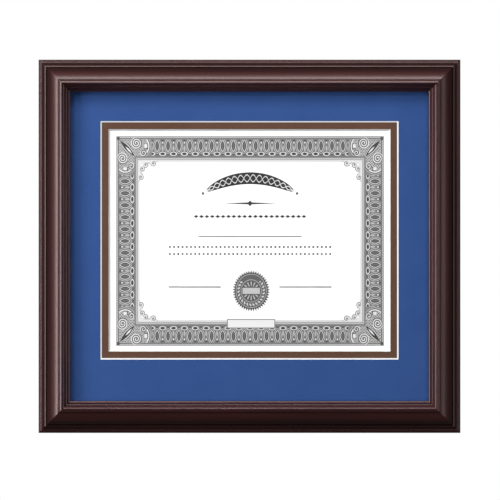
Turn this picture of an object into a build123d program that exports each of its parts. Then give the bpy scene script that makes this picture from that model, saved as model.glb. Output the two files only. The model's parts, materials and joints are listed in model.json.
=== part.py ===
from build123d import *
import math
import os
from collections import namedtuple

# A wall-hung certificate frame: four mitred lengths of moulding round a glazed double mat, the
# certificate, its boards, and the hardware that holds the package in and hangs the frame.
# Millimetres. The front faces -Y and +Z is up. The wall is the plane Y = 0, and the origin is the
# middle of the frame on the wall.

# Certificate, a landscape sheet
SHEET_WIDTH = 254.0
SHEET_HEIGHT = 203.2
SHEET_THICKNESS = 0.25

# Mat windows, measured at the coloured faces
SHEET_COVER = 6.8  # how far the inner mat covers each edge of the sheet
INNER_MAT_REVEAL = 6.8  # from the top mat's window edge to the inner mat's window edge
SIDE_BORDER = 25.4  # top mat that shows at the left and right
TOP_BORDER = 25.0
BOTTOM_BORDER = 35.2  # weighted bottom, so the windows sit above the middle
BEVEL_ANGLE = 42.0  # degrees between the cut and the board's normal

# Layers of the package
GLASS_THICKNESS = 2.0
MAT_PAPER_THICKNESS = 0.2
MAT_CORE_THICKNESS = 1.2
POCKET_FILM = 0.1
POCKET_LEG = 13.0  # along each edge of the sheet, from its corner
MOUNT_BOARD_THICKNESS = 1.4
BACKING_THICKNESS = 3.0
PACKAGE_PLAY = 1.0  # between the package and each rabbet wall

# Moulding
MOULDING_WIDTH = 27.5  # across its face
RABBET_WIDTH = 6.35
LIP_THICKNESS = 3.45  # at the sight edge
Member = namedtuple("Member", "width rise bulge")
# One row for each member of the moulding, from the outer edge in to the sight edge: its run
# across the face, its rise towards the viewer, and how far its arc stands proud (0 is a flat).
# The rows may be drawn to any scale: the section is brought to MOULDING_WIDTH.
DRAWN_SECTION = [
    Member(width=1.0, rise=0.85, bulge=0.2),  # outer bead
    Member(width=0.35, rise=0.2, bulge=-0.1),  # fine groove
    Member(width=1.0, rise=0.6, bulge=0.05),  # edge fillet
    Member(width=0.9, rise=0.0, bulge=0.0),  # outer wall of the edge groove
    Member(width=1.25, rise=1.85, bulge=0.0),  # its inner wall
    Member(width=2.0, rise=1.3, bulge=0.2),  # edge bead
    Member(width=0.4, rise=-0.7, bulge=0.0),  # outer wall of the lower groove
    Member(width=0.8, rise=1.75, bulge=0.0),  # its inner wall
    Member(width=2.7, rise=3.45, bulge=0.1),  # foot of the crown
    Member(width=6.5, rise=4.35, bulge=0.35),  # crown
    Member(width=1.3, rise=0.9, bulge=-0.15),  # upper quirk
    Member(width=2.45, rise=1.2, bulge=0.15),  # top bead
    Member(width=0.75, rise=-1.9, bulge=-0.1),  # upper inner cove
    Member(width=1.4, rise=-1.05, bulge=0.05),  # upper inner bead
    Member(width=1.25, rise=-1.95, bulge=-0.2),  # middle inner cove
    Member(width=1.15, rise=-0.85, bulge=0.2),  # lower inner bead
    Member(width=0.85, rise=-1.6, bulge=-0.1),  # lower inner cove
    Member(width=0.95, rise=-0.4, bulge=0.05),  # sight fillet
    Member(width=0.5, rise=-0.65, bulge=0.1),  # eased sight edge
]
DRAWN_WIDTH = sum(member.width for member in DRAWN_SECTION)
MOULDING = [
    Member(*(size * MOULDING_WIDTH / DRAWN_WIDTH for size in member)) for member in DRAWN_SECTION
]

# V nails across each mitre
V_NAIL_LEG = 5.0
V_NAIL_THICKNESS = 0.5
V_NAIL_DEPTH = 8.0
V_NAIL_SINK = 0.4  # below the back of the moulding
V_NAIL_PLACES = (5.5, 13.5)  # from both outer edges, along the mitre

# Pan-head wood screws
SCREW_RADIUS = 1.45
SCREW_POINT = 2.5
SCREW_HEAD_RADIUS = 3.0
SCREW_HEAD_RIM = 0.7
SCREW_HEAD_HEIGHT = 1.8
SCREW_BITE = 9.0  # length in the wood
SCREW_FIT = 0.03  # between the shank and its hole in the wood
RECESS_LENGTH = 3.4
RECESS_WIDTH = 0.7
RECESS_DEPTH = 0.9

# Turn buttons
BUTTON_THICKNESS = 1.0
BUTTON_PIVOT_END = 5.5  # radius of the broad end
BUTTON_TIP_END = 3.2  # radius of the narrow end
BUTTON_REACH = 15.0  # from the pivot to the centre of the narrow end
BUTTON_RIB_WIDTH = 3.4
BUTTON_RIB_LENGTH = 10.0
BUTTON_RIB_HEIGHT = 0.6
BUTTON_RIB_CLEAR = 0.8  # between the rib and the screw head
BUTTON_PIVOT_INSET = 8.0  # from the rabbet wall to the pivot
BUTTON_PLAY = 0.1  # round the shank, and over and under the plate
BUTTON_SPREAD = 85.0  # top and bottom pivots, to each side of the middle
BUTTON_SIDE_DROP = 25.0  # side pivots, below the middle

# D-ring hangers
RING_WIRE_RADIUS = 1.0
RING_HALF_WIDTH = 8.0  # to the middle of the wire
RING_CORNER = 2.5
RING_SIDE = 1.5  # straight between the corner and the bow
RING_PLAY = 0.1
STRAP_THICKNESS = 0.8
STRAP_SIDE_PLAY = 0.5  # from each side of the strap to the ring's corner
STRAP_SCREW_CLEAR = 2.0  # from the ring, folded down, to the screw head
STRAP_SLIT = 0.12  # between the two plies
STRAP_HOLE_PLAY = 0.2
HANGER_RISE = 62.0  # the ring's bar above the middle of the frame

# Wall bumpers
BUMPER_HEIGHT = 4.5
BUMPER_BASE_RADIUS = 6.3
BUMPER_FACE_RADIUS = 5.2
BUMPER_ROUND = 0.8
BUMPER_INSET = 32.0  # from the side of the frame

# Sizes that follow
MAT_THICKNESS = MAT_PAPER_THICKNESS + MAT_CORE_THICKNESS
BEVEL_SLOPE = math.tan(math.radians(BEVEL_ANGLE))
INNER_WINDOW = (SHEET_WIDTH - 2 * SHEET_COVER, SHEET_HEIGHT - 2 * SHEET_COVER)
TOP_WINDOW = tuple(size + 2 * INNER_MAT_REVEAL for size in INNER_WINDOW)
SIGHT_WIDTH = TOP_WINDOW[0] + 2 * SIDE_BORDER
SIGHT_HEIGHT = TOP_WINDOW[1] + TOP_BORDER + BOTTOM_BORDER
WINDOW_RISE = (BOTTOM_BORDER - TOP_BORDER) / 2
RAIL_WIDTH = sum(member.width for member in MOULDING)
HALF_WIDTH = SIGHT_WIDTH / 2 + RAIL_WIDTH
HALF_HEIGHT = SIGHT_HEIGHT / 2 + RAIL_WIDTH
RABBET_WALL = RAIL_WIDTH - RABBET_WIDTH  # from the outer edge
PACKAGE_WIDTH = SIGHT_WIDTH + 2 * (RABBET_WIDTH - PACKAGE_PLAY)
PACKAGE_HEIGHT = SIGHT_HEIGHT + 2 * (RABBET_WIDTH - PACKAGE_PLAY)
BACK_Y = -BUMPER_HEIGHT
BUTTON_PIVOT = RABBET_WALL - BUTTON_PIVOT_INSET  # from the outer edge
RING_AXIS_HEIGHT = RING_WIRE_RADIUS + RING_PLAY + STRAP_THICKNESS  # above the back
HANGER_ACROSS = HALF_WIDTH - RABBET_WALL / 2
RING_BOW = RING_CORNER + RING_SIDE  # from the bar to the bow's centre
RING_TOP = RING_BOW + RING_HALF_WIDTH + RING_WIRE_RADIUS
STRAP_WIDTH = 2 * (RING_HALF_WIDTH - RING_CORNER - STRAP_SIDE_PLAY)
STRAP_SCREW_DROP = RING_TOP + STRAP_SCREW_CLEAR + SCREW_HEAD_RADIUS  # below the ring's bar
STRAP_END = STRAP_SCREW_DROP + STRAP_WIDTH / 2

# Heights of the layers above the back of the moulding, from the back to the front
BACKING_TOP = BACKING_THICKNESS
MOUNT_BOARD_TOP = BACKING_TOP + MOUNT_BOARD_THICKNESS
SHEET_BOTTOM = MOUNT_BOARD_TOP + POCKET_FILM
SHEET_TOP = SHEET_BOTTOM + SHEET_THICKNESS
INNER_MAT_BOTTOM = SHEET_TOP + POCKET_FILM
TOP_MAT_BOTTOM = INNER_MAT_BOTTOM + MAT_THICKNESS
GLASS_BOTTOM = TOP_MAT_BOTTOM + MAT_THICKNESS
SEAT = GLASS_BOTTOM + GLASS_THICKNESS  # the rabbet's depth
EDGE_HEIGHT = SEAT + LIP_THICKNESS - sum(member.rise for member in MOULDING)

INWARD = {
    "top": Vector(0, 0, -1),
    "bottom": Vector(0, 0, 1),
    "left": Vector(1, 0, 0),
    "right": Vector(-1, 0, 0),
}
TOWARDS_VIEWER = Vector(0, -1, 0)
TOWARDS_WALL = Vector(0, 1, 0)
CORNERS = {
    "top_left": (-1, 1),
    "top_right": (1, 1),
    "bottom_left": (-1, -1),
    "bottom_right": (1, -1),
}


def edge_plane(side, facing):
    """Plane on the back at the middle of a side's outer edge: local y runs inward, z faces facing."""
    inward = INWARD[side]
    origin = Vector(-inward.X * HALF_WIDTH, BACK_Y, -inward.Z * HALF_HEIGHT)
    return Plane(origin=origin, x_dir=inward.cross(facing), z_dir=facing)


def layer(width, height, low, high, rise=0.0):
    """A flat sheet between two heights above the back, its middle raised up the frame by rise."""
    slab = Box(width, high - low, height)
    return Pos(0, BACK_Y - (low + high) / 2, rise) * slab


def moulding_face():
    """Section of the moulding on the plane of u, from the outer edge in, and h, from the back up."""
    here = Vector(0, EDGE_HEIGHT)
    edges = [Line((0, 0), here)]
    for member in MOULDING:
        run = Vector(member.width, member.rise)
        there = here + run
        if member.bulge:
            proud = Vector(-run.Y, run.X).normalized() * member.bulge
            edges.append(ThreePointArc(here, here + run * 0.5 + proud, there))
        else:
            edges.append(Line(here, there))
        here = there
    rabbet = [here, (RAIL_WIDTH, SEAT), (RABBET_WALL, SEAT), (RABBET_WALL, 0), (0, 0)]
    edges += [Line(start, end) for start, end in zip(rabbet, rabbet[1:])]
    return make_face(edges)


def rail(side):
    """One length of moulding, mitred at both ends."""
    half = HALF_WIDTH if INWARD[side].X == 0 else HALF_HEIGHT
    bar = extrude(Plane.YZ * moulding_face(), half, both=True)
    outline = Polyline(
        (-half, 0), (half, 0), (half - RAIL_WIDTH, RAIL_WIDTH), (RAIL_WIDTH - half, RAIL_WIDTH), close=True
    )
    front = bar.bounding_box().max.Z
    mitred = bar & extrude(make_face(outline), front)
    return edge_plane(side, TOWARDS_VIEWER) * mitred


def v_nail(corner, place):
    """An L of sheet steel astride the mitre, with a leg in each rail and its point to the corner."""
    side_x, side_z = CORNERS[corner]
    leg = Pos(V_NAIL_LEG / 2, 0, 0) * Box(V_NAIL_LEG, V_NAIL_DEPTH, V_NAIL_THICKNESS)
    other = Pos(0, 0, V_NAIL_LEG / 2) * Box(V_NAIL_THICKNESS, V_NAIL_DEPTH, V_NAIL_LEG)
    heel = Box(V_NAIL_THICKNESS, V_NAIL_DEPTH, V_NAIL_THICKNESS)
    nail = leg + other + heel
    if side_x > 0:
        nail = mirror(nail, Plane.YZ)
    if side_z > 0:
        nail = mirror(nail, Plane.XY)
    depth = BACK_Y - V_NAIL_SINK - V_NAIL_DEPTH / 2
    return Pos(side_x * (HALF_WIDTH - place), depth, side_z * (HALF_HEIGHT - place)) * nail


def v_nail_slot(nail):
    """The nail's own space, open to the back."""
    return nail + Pos(0, V_NAIL_SINK, 0) * nail


def mat_layer(window, low, high, face):
    """One ply of a mat between two heights: the window's bevel closes in below the face's height."""
    opening = []
    for height in (high, low):
        closed = 2 * (face - height) * BEVEL_SLOPE
        plane = Plane(origin=(0, BACK_Y - height, WINDOW_RISE), x_dir=(1, 0, 0), z_dir=(0, -1, 0))
        opening.append(plane * Rectangle(window[0] - closed, window[1] - closed))
    return layer(PACKAGE_WIDTH, PACKAGE_HEIGHT, low, high) - loft(opening, ruled=True)


def mounting_corner(corner):
    """A folded film pocket over one corner of the sheet."""
    side_x, side_z = CORNERS[corner]
    tip_x = side_x * (SHEET_WIDTH / 2 + POCKET_FILM)
    tip_z = side_z * (SHEET_HEIGHT / 2 + POCKET_FILM)
    outline = Polyline(
        (tip_x, tip_z), (tip_x - side_x * POCKET_LEG, tip_z), (tip_x, tip_z - side_z * POCKET_LEG), close=True
    )
    plane = Plane(origin=(0, BACK_Y - MOUNT_BOARD_TOP, WINDOW_RISE), x_dir=(1, 0, 0), z_dir=(0, -1, 0))
    pocket = extrude(plane * make_face(outline), INNER_MAT_BOTTOM - MOUNT_BOARD_TOP)
    return pocket - certificate()


def certificate():
    return layer(SHEET_WIDTH, SHEET_HEIGHT, SHEET_BOTTOM, SHEET_TOP, WINDOW_RISE)


def screw(grip):
    """A pan-head wood screw: z = 0 is the wood, the head clamps grip above it, the point is below."""
    crown = grip + SCREW_HEAD_HEIGHT
    rim = grip + SCREW_HEAD_RIM
    dome = (SCREW_HEAD_RADIUS**2 + (crown - rim) ** 2) / (2 * (crown - rim))
    halfway = math.asin(SCREW_HEAD_RADIUS / dome) / 2
    dome_middle = (dome * math.sin(halfway), crown - dome + dome * math.cos(halfway))
    edges = [
        Line((0, -SCREW_BITE), (SCREW_RADIUS, SCREW_POINT - SCREW_BITE)),
        Line((SCREW_RADIUS, SCREW_POINT - SCREW_BITE), (SCREW_RADIUS, grip)),
        Line((SCREW_RADIUS, grip), (SCREW_HEAD_RADIUS, grip)),
        Line((SCREW_HEAD_RADIUS, grip), (SCREW_HEAD_RADIUS, rim)),
        ThreePointArc((SCREW_HEAD_RADIUS, rim), dome_middle, (0, crown)),
        Line((0, crown), (0, -SCREW_BITE)),
    ]
    body = revolve(Plane.XZ * make_face(edges), Axis.Z)
    for turn in (0, 90):
        slot = Box(RECESS_LENGTH, RECESS_WIDTH, RECESS_DEPTH, align=(Align.CENTER, Align.CENTER, Align.MAX))
        body -= Pos(0, 0, crown) * Rot(0, 0, turn) * slot
    return body


def screw_hole():
    """The screw's hole in the wood, its own shape with a little room."""
    edges = [
        Line((0, -SCREW_BITE - SCREW_FIT), (SCREW_RADIUS + SCREW_FIT, SCREW_POINT - SCREW_BITE - SCREW_FIT)),
        Line((SCREW_RADIUS + SCREW_FIT, SCREW_POINT - SCREW_BITE - SCREW_FIT), (SCREW_RADIUS + SCREW_FIT, 0)),
        Line((SCREW_RADIUS + SCREW_FIT, 0), (0, 0)),
        Line((0, 0), (0, -SCREW_BITE - SCREW_FIT)),
    ]
    return revolve(Plane.XZ * make_face(edges), Axis.Z)


def turn_button():
    """A pear-shaped plate that points along y from its pivot, with a pressed rib along it."""
    lean = math.asin((BUTTON_PIVOT_END - BUTTON_TIP_END) / BUTTON_REACH)
    side = Vector(math.cos(lean), math.sin(lean))
    broad = side * BUTTON_PIVOT_END
    narrow = side * BUTTON_TIP_END + Vector(0, BUTTON_REACH)
    broad_left = Vector(-broad.X, broad.Y)
    narrow_left = Vector(-narrow.X, narrow.Y)
    edges = [
        Line(broad, narrow),
        ThreePointArc(narrow, (0, BUTTON_REACH + BUTTON_TIP_END), narrow_left),
        Line(narrow_left, broad_left),
        ThreePointArc(broad_left, (0, -BUTTON_PIVOT_END), broad),
    ]
    plate = extrude(make_face(edges), BUTTON_THICKNESS)
    rib_start = SCREW_HEAD_RADIUS + BUTTON_RIB_CLEAR
    rib = extrude(Rot(0, 0, 90) * SlotOverall(BUTTON_RIB_LENGTH, BUTTON_RIB_WIDTH), BUTTON_RIB_HEIGHT)
    hole = Cylinder(SCREW_RADIUS + BUTTON_PLAY, 4 * BUTTON_THICKNESS)
    button = plate + Pos(0, rib_start + BUTTON_RIB_LENGTH / 2, BUTTON_THICKNESS) * rib - hole
    return Pos(0, 0, BUTTON_PLAY) * button


def button_planes():
    """Pivot of each turn button on the back: local y points at the backing board, z at the wall."""
    places = {}
    for side, name, along in (
        ("top", "top_left", -BUTTON_SPREAD),
        ("top", "top_right", BUTTON_SPREAD),
        ("bottom", "bottom_left", -BUTTON_SPREAD),
        ("bottom", "bottom_right", BUTTON_SPREAD),
        ("left", "left", -BUTTON_SIDE_DROP),
        ("right", "right", -BUTTON_SIDE_DROP),
    ):
        edge = edge_plane(side, TOWARDS_WALL)
        run = Vector(along, 0, 0) if INWARD[side].X == 0 else Vector(0, 0, along)
        origin = edge.origin + run + INWARD[side] * BUTTON_PIVOT
        places[name] = side, Plane(origin=origin, x_dir=edge.x_dir, z_dir=TOWARDS_WALL)
    return places


def hanger_plane(side):
    """The ring's bar on the back of a side rail: local y runs up, z faces the wall."""
    across = -INWARD[side].X * HANGER_ACROSS
    return Plane(origin=(across, BACK_Y, HANGER_RISE), x_dir=(-1, 0, 0), z_dir=TOWARDS_WALL)


def hanger_strap():
    """A strip folded round the ring's bar, its two plies screwed down one on the other."""
    outer = RING_AXIS_HEIGHT
    inner = RING_WIRE_RADIUS + RING_PLAY
    plies = 2 * STRAP_THICKNESS
    side_view = Pos(0, outer) * Circle(outer)
    side_view += Pos(-STRAP_END / 2, plies / 2) * Rectangle(STRAP_END, plies)
    side_view -= Pos(0, outer) * Circle(inner)
    slit = STRAP_END - 2 * outer
    side_view -= Pos(-STRAP_END + slit / 2, STRAP_THICKNESS) * Rectangle(slit, STRAP_SLIT)
    strip = extrude(Plane.YZ * side_view, STRAP_WIDTH / 2, both=True)
    straight = STRAP_SCREW_DROP + outer
    outline = Pos(0, outer - straight / 2) * Rectangle(STRAP_WIDTH, straight)
    outline += Pos(0, -STRAP_SCREW_DROP) * Circle(STRAP_WIDTH / 2)
    strip = strip & extrude(outline, 2 * outer)
    return strip - Pos(0, -STRAP_SCREW_DROP, plies / 2) * Cylinder(SCREW_RADIUS + STRAP_HOLE_PLAY, 2 * plies)


def hanger_ring():
    """A D of round wire: its bar lies along x in the strap's loop and its bow stands up along y."""
    half_path = [
        Line((0, 0), (RING_HALF_WIDTH - RING_CORNER, 0)),
        TangentArc((RING_HALF_WIDTH - RING_CORNER, 0), (RING_HALF_WIDTH, RING_CORNER), tangent=(1, 0)),
        Line((RING_HALF_WIDTH, RING_CORNER), (RING_HALF_WIDTH, RING_BOW)),
        TangentArc((RING_HALF_WIDTH, RING_BOW), (0, RING_BOW + RING_HALF_WIDTH), tangent=(0, 1)),
    ]
    half = sweep(Plane.YZ * Circle(RING_WIRE_RADIUS), path=Wire(half_path))
    return Pos(0, 0, RING_AXIS_HEIGHT) * (half + mirror(half, Plane.YZ))


def bumper():
    """A rubber foot, broad on the moulding and flat against the wall."""
    foot = loft([Circle(BUMPER_BASE_RADIUS), Pos(0, 0, BUMPER_HEIGHT) * Circle(BUMPER_FACE_RADIUS)])
    return fillet(foot.edges().group_by(Axis.Z)[-1], BUMPER_ROUND)


def group(shapes):
    return Compound([solid for shape in shapes for solid in shape.solids()])


def build():
    nodes = {}
    holes = {side: [] for side in INWARD}

    for corner in CORNERS:
        nails = [v_nail(corner, place) for place in V_NAIL_PLACES]
        nodes[f"v_nails_{corner}"] = group(nails)
        for side in corner.split("_"):
            holes[side] += [v_nail_slot(nail) for nail in nails]

    grip = BUTTON_THICKNESS + 2 * BUTTON_PLAY
    button_screws = []
    for name, (side, plane) in button_planes().items():
        nodes[f"turn_button_{name}"] = plane * turn_button()
        button_screws.append(plane * screw(grip))
        holes[side].append(plane * screw_hole())
    nodes["turn_button_screws"] = group(button_screws)

    strap_screws = []
    for side in ("left", "right"):
        plane = hanger_plane(side)
        nodes[f"hanger_strap_{side}"] = plane * hanger_strap()
        nodes[f"hanger_ring_{side}"] = plane * hanger_ring()
        strap_screws.append(plane * Pos(0, -STRAP_SCREW_DROP) * screw(2 * STRAP_THICKNESS))
        holes[side].append(plane * Pos(0, -STRAP_SCREW_DROP) * screw_hole())
        across = -INWARD[side].X * (HALF_WIDTH - BUMPER_INSET)
        foot = Plane(origin=(across, BACK_Y, RABBET_WALL / 2 - HALF_HEIGHT), z_dir=TOWARDS_WALL)
        nodes[f"wall_bumper_{side}"] = foot * bumper()
    nodes["hanger_screws"] = group(strap_screws)

    for side in INWARD:
        nodes[f"{side}_rail"] = rail(side) - holes[side]

    core_top = TOP_MAT_BOTTOM + MAT_CORE_THICKNESS
    nodes["top_mat_core"] = mat_layer(TOP_WINDOW, TOP_MAT_BOTTOM, core_top, GLASS_BOTTOM)
    nodes["top_mat_paper"] = mat_layer(TOP_WINDOW, core_top, GLASS_BOTTOM, GLASS_BOTTOM)
    core_top = INNER_MAT_BOTTOM + MAT_CORE_THICKNESS
    nodes["inner_mat_core"] = mat_layer(INNER_WINDOW, INNER_MAT_BOTTOM, core_top, TOP_MAT_BOTTOM)
    nodes["inner_mat_paper"] = mat_layer(INNER_WINDOW, core_top, TOP_MAT_BOTTOM, TOP_MAT_BOTTOM)
    nodes["glazing_sheet"] = layer(PACKAGE_WIDTH, PACKAGE_HEIGHT, GLASS_BOTTOM, SEAT)
    nodes["certificate"] = certificate()
    nodes["mounting_corners"] = group([mounting_corner(corner) for corner in CORNERS])
    nodes["mount_board"] = layer(PACKAGE_WIDTH, PACKAGE_HEIGHT, BACKING_TOP, MOUNT_BOARD_TOP)
    nodes["backing_board"] = layer(PACKAGE_WIDTH, PACKAGE_HEIGHT, 0, BACKING_TOP)
    return nodes


os.makedirs("parts", exist_ok=True)
for node, shape in build().items():
    shape.label = node
    export_step(shape, f"parts/{node}.step")
print(f"outside {2 * HALF_WIDTH:.1f} x {2 * HALF_HEIGHT:.1f}, sight {SIGHT_WIDTH:.1f} x {SIGHT_HEIGHT:.1f}")
print(f"moulding {RAIL_WIDTH:.1f} wide, rabbet {SEAT:.2f} deep, edge {EDGE_HEIGHT:.2f} high")
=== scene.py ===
import json
import math

import bmesh
import bpy
import numpy as np
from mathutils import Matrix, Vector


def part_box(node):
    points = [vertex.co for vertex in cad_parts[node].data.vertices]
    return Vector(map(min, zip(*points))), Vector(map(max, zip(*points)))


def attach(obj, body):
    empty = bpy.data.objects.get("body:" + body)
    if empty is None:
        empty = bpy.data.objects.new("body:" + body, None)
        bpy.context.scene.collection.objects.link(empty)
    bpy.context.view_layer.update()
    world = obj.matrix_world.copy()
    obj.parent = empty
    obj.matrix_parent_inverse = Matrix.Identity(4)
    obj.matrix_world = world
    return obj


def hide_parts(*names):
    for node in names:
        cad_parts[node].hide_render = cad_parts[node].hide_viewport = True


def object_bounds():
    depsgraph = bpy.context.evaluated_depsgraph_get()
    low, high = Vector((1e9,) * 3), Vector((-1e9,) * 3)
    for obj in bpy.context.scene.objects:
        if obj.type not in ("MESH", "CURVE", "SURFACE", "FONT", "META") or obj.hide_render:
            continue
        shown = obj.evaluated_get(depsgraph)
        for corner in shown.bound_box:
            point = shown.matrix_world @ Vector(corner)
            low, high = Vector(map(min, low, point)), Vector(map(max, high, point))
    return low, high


# A wall-hung certificate frame: stained moulding round a glazed double mat, the printed certificate
# and the hardware behind. Metres. The front faces -Y, +Z is up and the wall is the plane Y = 0.
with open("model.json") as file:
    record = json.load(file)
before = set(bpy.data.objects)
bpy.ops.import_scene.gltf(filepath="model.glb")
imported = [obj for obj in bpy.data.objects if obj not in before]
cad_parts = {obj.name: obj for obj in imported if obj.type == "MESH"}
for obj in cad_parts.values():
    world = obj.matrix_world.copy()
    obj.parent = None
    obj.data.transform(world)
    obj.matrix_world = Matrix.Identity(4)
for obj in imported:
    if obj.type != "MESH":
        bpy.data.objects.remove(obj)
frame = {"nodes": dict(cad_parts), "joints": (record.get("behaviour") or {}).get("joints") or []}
cad_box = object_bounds()

MM = 0.001

# Moulding, from the outer edge in to the sight edge: run across the face, rise towards the viewer,
# how far the member's arc stands proud, in millimetres, and how much of the stain shows through the glaze.
# That last weight sets each member's darkness: a dark glaze in the hollows, and with it painted shade
# in the grooves where it is low and painted light on the members where it is above 1
MOULDING = [
    (1.0, 0.85, 0.2, 0.65),  # outer bead
    (0.35, 0.2, -0.1, 0.7),  # fine groove
    (1.0, 0.6, 0.05, 1.0),  # edge fillet
    (0.9, 0.0, 0.0, 0.7),  # outer wall of the edge groove
    (1.25, 1.85, 0.0, 0.45),  # its inner wall
    (2.0, 1.3, 0.2, 0.7),  # edge bead
    (0.4, -0.7, 0.0, 0.45),  # outer wall of the lower groove
    (0.8, 1.75, 0.0, 0.4),  # its inner wall
    (2.7, 3.45, 0.1, 0.7),  # foot of the crown
    (6.5, 4.35, 0.35, 1.25),  # crown
    (1.3, 0.9, -0.15, 0.7),  # upper quirk
    (2.45, 1.2, 0.15, 1.2),  # top bead
    (0.75, -1.9, -0.1, 1.05),  # upper inner cove
    (1.4, -1.05, 0.05, 1.25),  # upper inner bead
    (1.25, -1.95, -0.2, 1.15),  # middle inner cove
    (1.15, -0.85, 0.2, 1.0),  # lower inner bead
    (0.85, -1.6, -0.1, 0.65),  # lower inner cove
    (0.95, -0.4, 0.05, 1.0),  # sight fillet
    (0.5, -0.65, 0.1, 1.0),  # eased sight edge
]
ARC_STEP = math.radians(1.5)  # turn of one facet of an arc
RABBET_WIDTH = 6.35 * MM
LIP_THICKNESS = 3.45 * MM
STAIN_CREEP = 0.5 * MM  # how far the stain runs round on to the bare back
MITRE_EASE = 0.04 * MM  # how far the ends are eased at the mitres
MITRE_RUN = 0.15 * MM

# V nails
V_NAIL_LEG = 5.0 * MM
V_NAIL_THICKNESS = 0.5 * MM
V_NAIL_DEPTH = 8.0 * MM
V_NAIL_PLACES = (5.5 * MM, 13.5 * MM)
V_NAIL_PROUD = 0.02 * MM

# Screws
SCREW_RADIUS = 1.45 * MM
SCREW_POINT = 2.5 * MM
SCREW_HEAD_RADIUS = 3.0 * MM
SCREW_HEAD_RIM = 0.7 * MM
SCREW_HEAD_HEIGHT = 1.8 * MM
SCREW_BITE = 9.0 * MM
RECESS_REACH = 1.75 * MM
RECESS_HALF_WIDTH = 0.38 * MM
RECESS_DEPTH = 0.85 * MM
RECESS_SOFTNESS = 0.22 * MM

# Turn buttons
BUTTON_THICKNESS = 1.0 * MM
BUTTON_PIVOT_END = 5.5 * MM
BUTTON_TIP_END = 3.2 * MM
BUTTON_REACH = 15.0 * MM
BUTTON_EDGE = 0.28 * MM  # tumbled edge
BUTTON_PLAY = 0.1 * MM
BUTTON_RIB_FROM = 5.5 * MM  # middles of the rib's two round ends, from the pivot
BUTTON_RIB_TO = 12.1 * MM
BUTTON_RIB_HALF_WIDTH = 1.7 * MM
BUTTON_RIB_HEIGHT = 0.6 * MM
BUTTON_RIB_SOFTNESS = 1.0 * MM

# D-ring hangers
RING_WIRE_RADIUS = 1.0 * MM
RING_HALF_WIDTH = 8.0 * MM
RING_CORNER = 2.5 * MM
RING_BOW = 4.0 * MM
STRAP_THICKNESS = 0.8 * MM
STRAP_EDGE = 0.25 * MM
STRAP_HALF_WIDTH = 5.0 * MM
STRAP_SCREW_DROP = 18.0 * MM
STRAP_LOOP = 1.5 * MM  # radius at the middle of the strip
STRAP_LEAVES = math.radians(150)  # where the upper ply leaves the loop
STRAP_SLIT = 0.12 * MM

# Wall bumpers
BUMPER_HEIGHT = 4.5 * MM
BUMPER_BASE_RADIUS = 6.3 * MM
BUMPER_FACE_RADIUS = 5.2 * MM
BUMPER_ROUND = 0.8 * MM
BUMPER_FOOT_EASE = (0.15 * MM, 0.25 * MM)  # in from the foot's edge and up
BUMPER_DISH_RIM = (0.86, 0.8)  # shares of the flat face where the dish starts and where its wall ends
BUMPER_DISH_DEPTH = (0.2 * MM, 0.25 * MM)  # under its wall and at its middle

# Places that follow from the frame
HALF_WIDTH = cad_box[1].x
HALF_HEIGHT = cad_box[1].z
BACK_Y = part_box("top_rail")[1].y
SEAT = BACK_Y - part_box("glazing_sheet")[0].y
RAIL_WIDTH = sum(member[0] for member in MOULDING) * MM
RABBET_WALL = RAIL_WIDTH - RABBET_WIDTH
EDGE_HEIGHT = SEAT + LIP_THICKNESS - sum(member[1] for member in MOULDING) * MM
RING_AXIS = RING_WIRE_RADIUS + 0.1 * MM + STRAP_THICKNESS
INWARD = {
    "top": np.array([0.0, 0.0, -1.0]),
    "bottom": np.array([0.0, 0.0, 1.0]),
    "left": np.array([1.0, 0.0, 0.0]),
    "right": np.array([-1.0, 0.0, 0.0]),
}
UP = np.array([0.0, 0.0, 1.0])
TO_WALL = np.array([0.0, 1.0, 0.0])
CORNERS = {"top_left": (-1, 1), "top_right": (1, 1), "bottom_left": (-1, -1), "bottom_right": (1, -1)}

# Print on the certificate, in millimetres across; the design is drawn out taller by PRINT_STRETCH
PRINT_STRETCH = 1.1
PRINT_RISE = 4.52  # its middle above the middle of the frame
PRINT_SHIFT = 0.47  # and to the right of it
PRINT_HALF_WIDTH = 114.3
PRINT_HALF_HEIGHT = 81.4
PRINT_SOFT = 0.14  # how soft an inked edge is
BAND = (2.5, 15.7)  # the guilloche band, from the border's outer edge
LENS_PERIOD = 9.3
LENS_START = 35.05  # the first lens, from the corner
CORNER_LENGTH = 30.4
PAPER_WHITE = 0.93  # reflectance of the bare paper

# Studio
PAPER_LIGHT = 1.3  # how bright a perfect white comes out, where 1 is the picture's white
PIXELS_PER_MM = 1.173  # at the face of the top mat
PICTURE = 500
VIEW_DISTANCE = 3.0
VIEW_MIDDLE = (0.43 * MM, -3.16 * MM)
SENSOR = 36.0
FLOOR_DROP = 0.34  # below the middle of the frame
FLOOR_REACH = 1.6  # where it has faded out
AMBIENT = 0.081
LIGHTS = [  # name, place, size across and up, power in watts
    ("key_softbox", (-1.375, -1.726, 1.375), (1.2, 1.2), 42.0),
    ("left_strip", (-2.045, -1.438, 0.0), (0.6, 2.0), 42.7),
    ("top_strip", (0.0, -1.505, 1.997), (2.0, 0.6), 38.8),
    ("right_strip", (2.237, -1.117, 0.0), (0.6, 2.0), 6.6),
    ("front_fill", (1.2, -2.4, -0.2), (1.2, 0.8), 10.0),
    ("back_key_softbox", (1.4, 1.9, 1.2), (1.2, 1.2), 70.0),
    ("back_fill", (-0.6, 2.3, 0.45), (2.2, 2.0), 14.0),
]


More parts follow.
